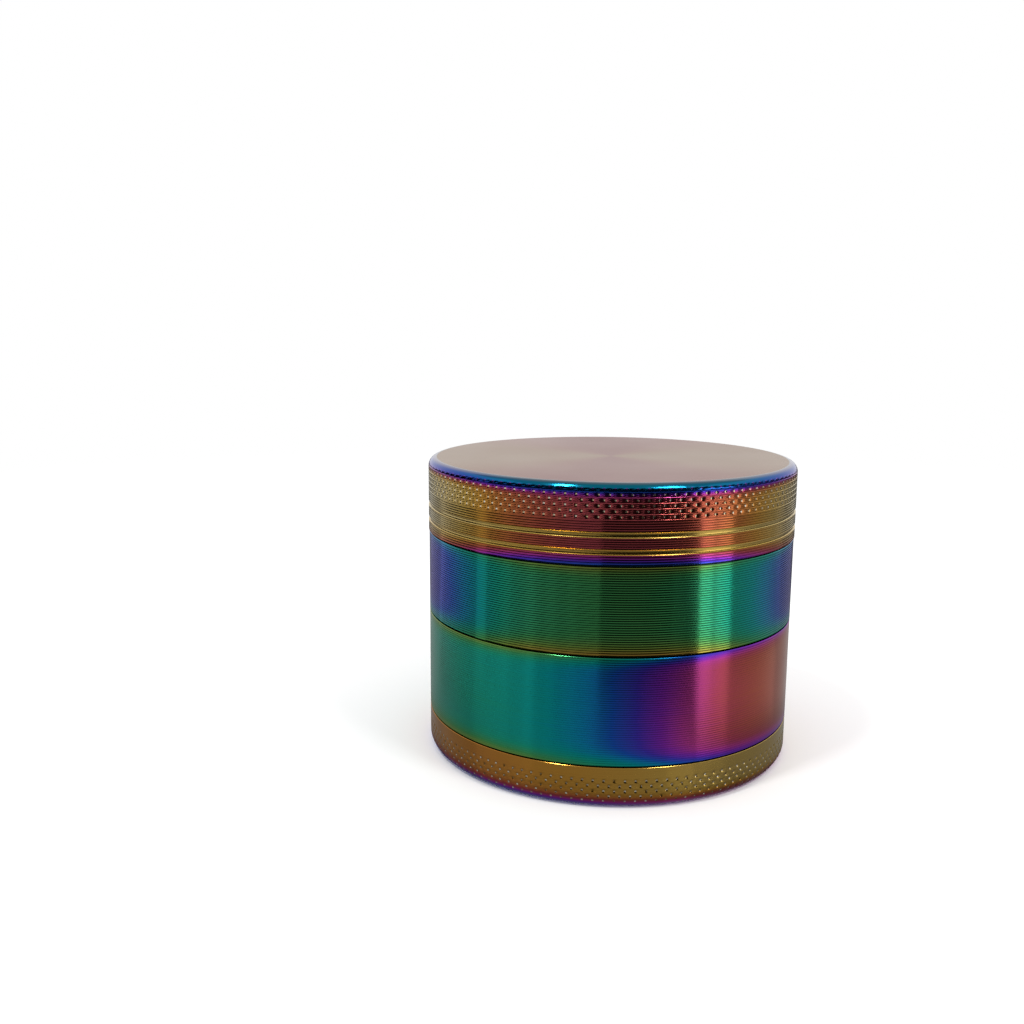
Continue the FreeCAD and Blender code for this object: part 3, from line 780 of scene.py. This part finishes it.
class GrinderColours(bpy.types.PropertyGroup):
    """Colours beside the coating."""

    steel: bpy.props.FloatVectorProperty(
        name="Steel", description="Screen and its ring", subtype="COLOR", size=4, default=linear("#B9B9B6"))
    nickel: bpy.props.FloatVectorProperty(
        name="Nickel", description="Magnet plating", subtype="COLOR", size=4, default=linear("#CFC9BF"))
    nylon: bpy.props.FloatVectorProperty(
        name="Nylon", description="Ring under the lid", subtype="COLOR", size=4, default=linear("#E9E6DC"))
    floor: bpy.props.FloatVectorProperty(
        name="Floor", description="Studio floor", subtype="COLOR", size=4, default=linear("#FAFAFA"))


class GrinderSettings(bpy.types.PropertyGroup):
    """All settings of the grinder."""

    knurl: bpy.props.PointerProperty(type=GrinderKnurl, name="Knurl", description="Pressed dents")
    lines: bpy.props.PointerProperty(type=GrinderLines, name="Lines", description="Turned lines")
    colours: bpy.props.PointerProperty(type=GrinderColours, name="Colours", description="Plain colours")


# Parts


class GRINDER_OT_lid(bpy.types.Operator):
    """Lid with a knurled rim, two gold grooves, teeth and a boss for its magnet"""

    bl_idname = "grinder.lid"
    bl_label = "Lid"

    def execute(self, context):
        settings = context.scene.grinder
        knurl, lines = settings.knurl, settings.lines
        rim_r, rim_z = LID_R - RIM, LID_TOP - RIM
        # The coat's rim gets painted shade from the lid's film.
        coat = rainbow_coating(
            "Lid rainbow oxide on turned aluminium", LID_FILM, 0.13, 0.2, pale=0.75, pale_from=RIM_PALE_FROM)
        gold = rainbow_coating("Thin gold oxide in turned grooves", GROOVE_FILM, 0.22, 0.0)
        # Painted highlight: cream glints in the middles of the lid's dents.
        bright = painted_glints("Painted glints in the lid's dents", "#D8C08A", "#F4ECDA", rim_z)
        # The top has a painted highlight along its outer edge.
        top = rainbow_coating(
            "Lid top rainbow oxide on spun aluminium", LID_TOP_FILM, 0.34, 0.2, pale=0.68, painted_edge_from=rim_r)
        pitch, depth = lines.pitch / MM, lines.depth / MM * LID_LINES
        row = knurl.row_height / MM
        band_top = LID_TOP_ROW + row / 2
        lowest = band_top - row * (knurl.lid_rows - 0.5)
        turn = math.degrees(math.asin((band_top - rim_z) / RIM))
        rows = [Row(0, LID_TOP, finish=TOP), Row(rim_r / 2, LID_TOP, finish=TOP)]
        rows += [Row(rim_r, LID_TOP, finish=TOP), *arc(rim_r, rim_z, RIM, TOP_EDGE, turn, 8)]
        rows[-1] = rows[-1]._replace(joined=False)
        upper = lowest - row / 2
        for middle in GROOVES:
            rows += turned_lines(LID_R, upper, middle + GROOVE_WIDTH / 2, pitch, depth)[:-1]
            rows += groove(LID_R, middle)[:-1]
            upper = middle - GROOVE_WIDTH / 2
        rows += turned_lines(LID_R, upper, LID_BOTTOM + LID_SEAM, pitch, depth)
        rows += [Row(LID_R - LID_SEAM, LID_BOTTOM), Row(RING_BORE, LID_BOTTOM)]
        rows += [Row(RING_BORE, RING_TOP), Row(SKIRT_R, RING_TOP)]
        rows += arc(SKIRT_R - CORNER, PLATE_BOTTOM - CORNER, CORNER, 0, 90)
        rows += arc(BOSS_R + CORNER, PLATE_BOTTOM - CORNER, CORNER, 90, 180)
        rows += [Row(BOSS_R, BOSS_BOTTOM + BOSS_BREAK), Row(BOSS_R - BOSS_BREAK, BOSS_BOTTOM)]
        rows += [Row(POCKET_R, BOSS_BOTTOM), Row(POCKET_R, BOSS_POCKET), Row(0, BOSS_POCKET)]
        root = PLATE_BOTTOM + ROOT
        parts = [
            turned(rows, 2 * knurl.dents),
            knurled(knurl, knurl.lid_rows, LID_R, lowest, coat, depth, rim_z, 0.0, RIM),
        ]
        for circle, count in ((INNER_CIRCLE, INNER_TEETH), (OUTER_CIRCLE, OUTER_TEETH)):
            teeth = tooth(diamond(circle), root, LID_TOOTH_TIP)
            parts.append(ring_of_teeth(teeth, count, coat, 180 / count))
        finished("lid_cap", "lid", ["lid"], parts, [coat, bright, gold, top])
        return {"FINISHED"}


class GRINDER_OT_grinding_tray(bpy.types.Operator):
    """Toothed tray with feed lines outside, a drilled floor, a post for its magnet and a screw spigot"""

    bl_idname = "grinder.grinding_tray"
    bl_label = "Grinding Tray"

    def execute(self, context):
        coat = rainbow_coating("Tray rainbow oxide on turned aluminium", TRAY_FILM, 0.11, 0.2)
        foot = TRAY_BOTTOM - SPIGOT_LENGTH
        rows = [Row(COLLAR_BORE, COLLAR_TOP), Row(COLLAR_R - SPIGOT_LEAD, COLLAR_TOP)]
        rows += [Row(COLLAR_R, COLLAR_TOP - SPIGOT_LEAD), Row(COLLAR_R, TRAY_TOP)]
        rows += lined_wall(TRAY_TOP, TRAY_BOTTOM, context.scene.grinder.lines)
        rows += [Row(SPIGOT_R, TRAY_BOTTOM), Row(SPIGOT_R, foot + SPIGOT_LEAD)]
        rows += [Row(SPIGOT_R - SPIGOT_LEAD, foot), Row(SPIGOT_BORE, foot)]
        rows += arc(SPIGOT_BORE - CORNER, FLOOR_BOTTOM - CORNER, CORNER, 0, 90)
        rows += [Row(SPIGOT_BORE - CORNER, FLOOR_BOTTOM + FLOOR_LAP)]
        rows += [Row(COLLAR_BORE - CORNER, FLOOR_TOP - FLOOR_LAP)]
        rows += arc(COLLAR_BORE - CORNER, FLOOR_TOP + CORNER, CORNER, 270, 360)
        post = [Row(0, POST_POCKET), Row(POCKET_R, POST_POCKET), Row(POCKET_R, POST_TOP)]
        post += [Row(BOSS_R - BOSS_BREAK, POST_TOP), Row(BOSS_R, POST_TOP - BOSS_BREAK)]
        post += arc(BOSS_R + CORNER, FLOOR_TOP + CORNER, CORNER, 180, 270)
        post += [Row(BOSS_R + CORNER, FLOOR_TOP - FLOOR_LAP), Row(0, FLOOR_TOP - FLOOR_LAP)]
        floor = grown(
            floor_tree(), material=coat, radius=(SPIGOT_BORE - CORNER + FLOOR_EDGE) * MM,
            thickness=(FLOOR_TOP - FLOOR_BOTTOM) * MM, underside=FLOOR_BOTTOM * MM, hole_radius=HOLE_R * MM,
            inner_circle=INNER_CIRCLE * MM, outer_circle=OUTER_CIRCLE * MM,
            inner_holes=INNER_HOLES, outer_holes=OUTER_HOLES,
        )
        reach, back, root = COLLAR_BORE - WALL_TOOTH_REACH, COLLAR_BORE + ROOT, FLOOR_TOP - ROOT
        wedge = [(reach, 0), (back, -WALL_TOOTH_HALF), (back, WALL_TOOTH_HALF)]
        parts = [
            turned(rows, WALL_STEPS, loop=True), turned(post, POST_STEPS), floor,
            ring_of_teeth(tooth(diamond(MIDDLE_CIRCLE), root, TRAY_TOOTH_TIP), TRAY_TEETH, coat),
            ring_of_teeth(tooth(wedge, root, WALL_TOOTH_TIP), WALL_TEETH, coat),
            thread(SPIGOT_R, TRAY_THREAD, coat),
        ]
        finished("toothed_tray", "tray", ["grinding_tray"], parts, [coat])
        return {"FINISHED"}


class GRINDER_OT_sieve_chamber(bpy.types.Operator):
    """Sieve chamber with feed lines that fade out to one side, and a thread in each end"""

    bl_idname = "grinder.sieve_chamber"
    bl_label = "Sieve Chamber"

    def execute(self, context):
        coat = rainbow_coating("Chamber rainbow oxide on turned aluminium", CHAMBER_FILM, 0.17, 0.4)
        lower, upper = CHAMBER_BOTTOM + SOCKET_DEPTH, CHAMBER_TOP - SOCKET_DEPTH
        rows = [Row(SOCKET_R + SEAM, CHAMBER_TOP)]
        rows += lined_wall(CHAMBER_TOP, CHAMBER_BOTTOM, context.scene.grinder.lines, CHAMBER_LINES)
        rows += [Row(SOCKET_R + SEAM, CHAMBER_BOTTOM), Row(SOCKET_R, CHAMBER_BOTTOM + SEAM)]
        rows += [Row(SOCKET_R, lower), Row(CHAMBER_BORE, lower), Row(CHAMBER_BORE, SPRING_BOTTOM)]
        rows += [Row(SPRING_R, SPRING_BOTTOM), Row(SPRING_R, SCREEN_BOTTOM)]
        rows += [Row(CHAMBER_BORE, SCREEN_BOTTOM), Row(CHAMBER_BORE, LEDGE_BOTTOM)]
        rows += [Row(LEDGE_BORE, LEDGE_BOTTOM), Row(LEDGE_BORE, LEDGE_TOP)]
        rows += [Row(FUNNEL_R, FUNNEL_TOP), Row(FUNNEL_R, upper)]
        rows += [Row(SOCKET_R, upper), Row(SOCKET_R, CHAMBER_TOP - SEAM)]
        wall = turned(rows, WALL_STEPS, loop=True, fade=lambda a: FADE_MEAN - FADE_SWING * math.sin(a))
        parts = [wall, *(thread(SOCKET_R, start, coat, inwards=True) for start in SOCKET_THREADS)]
        finished("sieve_ring", "chamber", ["sieve_chamber"], parts, [coat])
        return {"FINISHED"}


class GRINDER_OT_pollen_tray(bpy.types.Operator):
    """Pollen tray: a bowl with a knurled outside, a rounded foot and a screw spigot"""

    bl_idname = "grinder.pollen_tray"
    bl_label = "Pollen Tray"

    def execute(self, context):
        settings = context.scene.grinder
        knurl, lines = settings.knurl, settings.lines
        coat = rainbow_coating("Base rainbow oxide on turned aluminium", BASE_FILM, 0.18, 0.5)
        # Painted highlight: cream glints in the middles of the base's dents.
        bright = painted_glints("Painted glints in the base's dents", "#7A5C28", "#F4ECDA")
        depth = lines.depth / MM * BASE_LINES
        row = knurl.row_height / MM
        band_bottom = BASE_LOWEST_ROW - row / 2
        band_top = band_bottom + row * knurl.base_rows
        rim = BASE_TOP + SPIGOT_LENGTH
        turn = -math.degrees(math.asin((FOOT - band_bottom) / FOOT))
        rows = [Row(0, BOWL_FLOOR), *arc(SPIGOT_BORE - BOWL_R, BOWL_FLOOR + BOWL_R, BOWL_R, 270, 360, 10)]
        rows += [Row(SPIGOT_BORE, rim), Row(SPIGOT_R - SPIGOT_LEAD, rim), Row(SPIGOT_R, rim - SPIGOT_LEAD)]
        rows += [Row(SPIGOT_R, BASE_TOP), Row(OUTER_R - EDGE_BREAK, BASE_TOP)]
        rows += turned_lines(OUTER_R, BASE_TOP - EDGE_BREAK, band_top, lines.pitch / MM, depth)
        rows[-1] = rows[-1]._replace(joined=False)
        rows += [*arc(OUTER_R - FOOT, FOOT, FOOT, turn, -90, 8), Row(0, 0)]
        parts = [
            turned(rows, 2 * knurl.dents),
            knurled(knurl, knurl.base_rows, OUTER_R, BASE_LOWEST_ROW, coat, depth, BASE_TOP, FOOT, FOOT),
            thread(SPIGOT_R, BASE_THREAD, coat),
        ]
        finished("pollen_bowl", "base", ["pollen_tray"], parts, [coat, bright])
        return {"FINISHED"}


class GRINDER_OT_screen(bpy.types.Operator):
    """Woven steel screen with a pressed rim"""

    bl_idname = "grinder.screen"
    bl_label = "Screen"

    def execute(self, context):
        settings = context.scene.grinder
        # Real screens are far finer; these wires are coarse enough to show in a picture.
        steel = brushed("Woven stainless steel wire", settings.colours.steel, 0.34)
        edge = SCREEN_R - SCREEN_BREAK
        rim = [Row(SCREEN_BORE, SCREEN_TOP), Row(edge, SCREEN_TOP), Row(SCREEN_R, SCREEN_TOP - SCREEN_BREAK)]
        rim += [Row(SCREEN_R, SCREEN_BOTTOM + SCREEN_BREAK), Row(edge, SCREEN_BOTTOM)]
        rim += [Row(SCREEN_BORE, SCREEN_BOTTOM)]
        wires = grown(
            screen_tree(), material=steel, radius=WIRE_REACH * MM, pitch=settings.lines.screen_pitch,
            wire_radius=WIRE_R * MM, middle_height=(SCREEN_BOTTOM + SCREEN_TOP) / 2 * MM,
        )
        parts = [turned(rim, RIM_STEPS, loop=True), wires]
        finished("woven_screen", "chamber", ["mesh_screen"], parts, [steel])
        return {"FINISHED"}


class GRINDER_OT_fittings(bpy.types.Operator):
    """Finishes of the magnets, the nylon ring and the spring ring"""

    bl_idname = "grinder.fittings"
    bl_label = "Magnets and Rings"

    def execute(self, context):
        shades = context.scene.grinder.colours
        nickel = brushed("Bright nickel plating on a magnet", shades.nickel, 0.18)
        nylon = brushed("Moulded natural nylon", shades.nylon, 0.45, metallic=0.0)
        spring = brushed("Rolled spring steel", shades.steel, 0.3)
        finishes = {"lid_magnet": nickel, "tray_magnet": nickel, "slip_ring": nylon, "screen_ring": spring}
        for node, material in finishes.items():
            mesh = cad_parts[node].data
            mesh.materials.clear()
            mesh.materials.append(material)
        return {"FINISHED"}


# Stage


class Card(NamedTuple):
    """A grey card beside the object, between two angles round its wall, and the brightness that it lends.

    The base mirrors the card's nearest strip of floor, then the chamber, the tray and the lid strips further
    out. The turned lines also mirror the wall behind them: its foot, a bright band and its dark upper part.
    """

    start: float
    end: float
    base: float
    chamber: float
    tray: float
    lid: float
    wall: float
    band: float
    high: float


CARDS = (
    Card(-80.3, -60, 0.24, 0.32, 0.40, 0.24, 0.30, 0.14, 0.08),
    Card(-60, -41, 0.28, 0.31, 0.08, 0.80, 0.02, 0.00, 0.00),
    Card(-41, -37, 0.34, 0.38, 0.44, 0.70, 0.60, 0.50, 0.20),
    Card(-37, -31, 0.36, 0.46, 0.06, 0.76, 0.06, 0.02, 0.00),
    Card(-31, -28, 0.36, 0.46, 0.20, 0.78, 0.14, 0.06, 0.00),
    Card(-28, -23.5, 0.38, 0.44, 0.04, 0.66, 0.04, 0.02, 0.00),
    Card(-23.5, -20.5, 0.39, 0.54, 0.16, 0.66, 0.12, 0.06, 0.00),
    Card(-20.5, -17, 0.36, 0.36, 0.03, 0.50, 0.03, 0.02, 0.00),
    Card(-17, -14.5, 0.36, 0.35, 0.14, 0.52, 0.12, 0.06, 0.00),
    Card(-14.5, -11, 0.36, 0.28, 0.02, 0.52, 0.02, 0.02, 0.00),
    Card(-11, -8.5, 0.36, 0.27, 0.10, 0.54, 0.08, 0.05, 0.00),
    Card(-8.5, -2, 0.36, 0.24, 0.02, 0.52, 0.02, 0.02, 0.00),
    Card(-2, 18, 0.36, 0.20, 0.01, 0.02, 0.01, 0.02, 0.00),
    Card(18, 26, 0.42, 0.20, 0.03, 0.06, 0.03, 0.08, 0.01),
    Card(26, 30, 0.34, 0.98, 1.10, 1.20, 1.80, 3.00, 0.00),
    Card(30, 31.5, 0.32, 0.92, 0.60, 0.90, 0.90, 1.50, 0.00),
    Card(31.5, 36.5, 0.30, 0.92, 0.90, 1.20, 1.40, 2.40, 0.00),
    Card(36.5, 60, 0.26, 0.54, 0.20, 0.36, 0.26, 0.30, 0.05),
    Card(60, 80.3, 0.26, 0.38, 0.38, 0.14, 0.28, 0.16, 0.08),
)

# How far the cards reach and how far they lie above the floor in millimetres, and their steps in degrees
CARD_REACH, CARD_LIFT, CARD_STEP = 1500.0, 0.3, 3.0

# Floor and roof in metres, and the roof's brightness
FLOOR_HALF, FLOOR_FADE_FROM, FLOOR_FADE_OVER = 4.0, 0.12, 0.3
ROOF_HALF, ROOF_HEIGHT, ROOF_LEVEL = 1.3, 1.6, 0.6

# Turn and climb of each lamp in degrees, its size in metres and its power in watts
LAMPS = {"Window": (50, 55, 0.20, 2.0), "Small lamp": (-44, 62, 0.10, 2.0)}
LAMP_DISTANCE = 1.0

# Camera fitted to the photo
CAMERA_PLACE = Vector((0.0, -189.375, 74.85)) * MM
CAMERA_TURN, CAMERA_PITCH, CAMERA_ROLL = math.radians(5.18), math.radians(-10.267), 0.0059
CAMERA_LENS, CAMERA_SENSOR = 38.398, 36.0


def mirrored(angle, tilt=0.0):
    """Foot of the wall at an angle, and the direction in which the viewer sees the wall mirror the room.

    A tilted patch of the wall, such as one side of a turned line, leans back by its tilt.
    """
    out = Vector((math.sin(angle), -math.cos(angle), 0))
    foot = out * OUTER_R * MM
    facing = out * math.cos(tilt) + Vector((0, 0, math.sin(tilt)))
    look = (foot + Vector((0, 0, TRAY_BOTTOM * MM)) - CAMERA_PLACE).normalized()
    return foot, look - 2 * look.dot(facing) * facing


def cards_mesh():
    """Grey cards that lie on the floor round the object and stand up further out, with their brightness."""
    verts, faces, levels = [], [], []
    for card in CARDS:
        steps = max(2, math.ceil((card.end - card.start) / CARD_STEP))
        # Brightness at distances from the wall in millimetres, and where a patch of it leans back by degrees
        strips = [
            (-8, card.base * 0.35), (2, card.base * 0.6), (9, card.base), (24, card.base),
            (38, card.chamber), (80, card.chamber), (95, card.tray), (140, card.tray),
            (165, card.lid), (CARD_REACH, card.lid),
        ]
        leans = [(13, card.wall), (15, card.band), (22, card.band), (24, card.high), (33, card.high)]
        for i in range(steps + 1):
            angle = math.radians(card.start + (card.end - card.start) * i / steps)
            foot, way = mirrored(angle)
            flat = Vector((way.x, way.y, 0)).normalized()
            for distance, level in strips:
                verts.append(foot + flat * distance * MM + Vector((0, 0, CARD_LIFT * MM)))
                levels.append(level)
            for lean, level in leans:
                verts.append(foot + mirrored(angle, math.radians(lean))[1] * CARD_REACH * MM)
                levels.append(level)
        n = len(strips) + len(leans)
        first = len(verts) - (steps + 1) * n
        for i in range(steps):
            a = first + i * n
            faces += [(a + k, a + k + 1, a + n + k + 1, a + n + k) for k in range(n - 1)]
    mesh = mesh_of("studio_cards", verts, faces)
    mesh.attributes.new("level", "FLOAT", "POINT").data.foreach_set("value", levels)
    return mesh


class GRINDER_OT_stage(bpy.types.Operator):
    """White floor and room, grey cards that the metal mirrors, soft lamps and the camera"""

    bl_idname = "grinder.stage"
    bl_label = "Stage"

    def execute(self, context):
        scene = context.scene
        scene.view_settings.view_transform = "Standard"
        floor = self.sheet("studio_floor", FLOOR_HALF, 0.0)
        floor.data.materials.append(self.floor_paint(scene.grinder.colours.floor))
        cards = linked("studio_cards", cards_mesh())
        cards.data.materials.append(self.card_paint("Studio card", None))
        roof = self.sheet("studio_roof", ROOF_HALF, ROOF_HEIGHT)
        roof.data.materials.append(self.card_paint("Studio roof", ROOF_LEVEL))
        for card in (cards, roof):
            card.visible_camera = False
            card.visible_diffuse = False
            card.visible_shadow = False
        world = bpy.data.worlds.new("White room")
        world.use_nodes = True
        world.node_tree.nodes["Background"].inputs["Color"].default_value = (1, 1, 1, 1)
        world.node_tree.nodes["Background"].inputs["Strength"].default_value = 1.0
        scene.world = world
        for name, values in LAMPS.items():
            self.lamp(name, *values)
        lens = bpy.data.cameras.new("Camera")
        lens.lens, lens.sensor_width = CAMERA_LENS, CAMERA_SENSOR
        lens.clip_start, lens.clip_end = 0.01, 20.0
        camera = linked("Camera", lens)
        turn = Matrix.Rotation(CAMERA_TURN, 4, "Z") @ Matrix.Rotation(math.pi / 2 + CAMERA_PITCH, 4, "X")
        camera.matrix_world = Matrix.Translation(CAMERA_PLACE) @ turn @ Matrix.Rotation(CAMERA_ROLL, 4, "Z")
        scene.camera = camera
        return {"FINISHED"}

    def sheet(self, name, half, height):
        """A level square."""
        corners = [(-half, -half), (half, -half), (half, half), (-half, half)]
        return linked(name, mesh_of(name, [(x, y, height) for x, y in corners], [(0, 1, 2, 3)]))

    def floor_paint(self, colour):
        """Matt paint that fades into the white room, so that no horizon shows."""
        made, tree, shader = new_material("Matt white studio floor", 0.0, 0.9)
        (x, y, _), where = place_in(tree)
        tint = blend(tree, noise(tree, where, 30.0), darker(colour, 0.985), list(colour))
        join(tree, shader, {"Base Color": tint})
        shader.inputs["Specular IOR Level"].default_value = 0.0
        fade = (((x * x + y * y).math("SQRT") - FLOOR_FADE_FROM) / FLOOR_FADE_OVER).clamped()
        clear = add(tree, "ShaderNodeBsdfTransparent")
        mixed = add(tree, "ShaderNodeMixShader", {0: fade.socket, 1: shader.outputs[0], 2: clear.outputs[0]})
        tree.links.new(mixed.outputs[0], tree.nodes["Material Output"].inputs["Surface"])
        return made

    def card_paint(self, name, level):
        """Paint that shines evenly, or by the brightness at each point where no level is given."""
        made = bpy.data.materials.new(name)
        made.use_nodes = True
        made.cycles.emission_sampling = "NONE"
        tree = made.node_tree
        tree.nodes.clear()
        if level is None:
            level = add(tree, "ShaderNodeAttribute", attribute_name="level").outputs["Fac"]
        glow = add(tree, "ShaderNodeEmission", {"Strength": level})
        add(tree, "ShaderNodeOutputMaterial", {"Surface": glow.outputs[0]})
        return made

    def lamp(self, name, turn, climb, size, power):
        """A soft square lamp that points at the object."""
        light = bpy.data.lights.new(name, "AREA")
        light.size = size
        light.energy = power
        made = linked(name, light)
        a, e = math.radians(turn), math.radians(climb)
        aim = Vector((math.sin(a) * math.cos(e), -math.cos(a) * math.cos(e), math.sin(e)))
        made.location = aim * LAMP_DISTANCE
        made.rotation_euler = aim.to_track_quat("Z", "Y").to_euler()
        made.visible_camera = False


PARTS = (
    GRINDER_OT_lid, GRINDER_OT_grinding_tray, GRINDER_OT_sieve_chamber, GRINDER_OT_pollen_tray,
    GRINDER_OT_screen, GRINDER_OT_fittings, GRINDER_OT_stage,
)


class GRINDER_PT_parts(bpy.types.Panel):
    """Lists the grinder's settings and the parts to build"""

    bl_label = "Hand Grinder"
    bl_space_type = "VIEW_3D"
    bl_region_type = "UI"
    bl_category = "Grinder"

    def draw(self, context):
        settings = context.scene.grinder
        for group in (settings.knurl, settings.lines, settings.colours):
            box = self.layout.box()
            for name in group.bl_rna.properties.keys():
                if name not in ("rna_type", "name"):
                    box.prop(group, name)
        for part in PARTS:
            self.layout.operator(part.bl_idname)


CLASSES = (GrinderKnurl, GrinderLines, GrinderColours, GrinderSettings, *PARTS, GRINDER_PT_parts)


def register():
    for cls in CLASSES:
        bpy.utils.register_class(cls)
    bpy.types.Scene.grinder = bpy.props.PointerProperty(
        type=GrinderSettings, name="Grinder", description="Settings of the hand grinder")


def unregister():
    del bpy.types.Scene.grinder
    for cls in reversed(CLASSES):
        bpy.utils.unregister_class(cls)


def main():
    register()
    bpy.ops.grinder.lid()
    bpy.ops.grinder.grinding_tray()
    bpy.ops.grinder.sieve_chamber()
    bpy.ops.grinder.pollen_tray()
    bpy.ops.grinder.screen()
    bpy.ops.grinder.fittings()
    bpy.ops.grinder.stage()


if __name__ == "__main__":
    main()
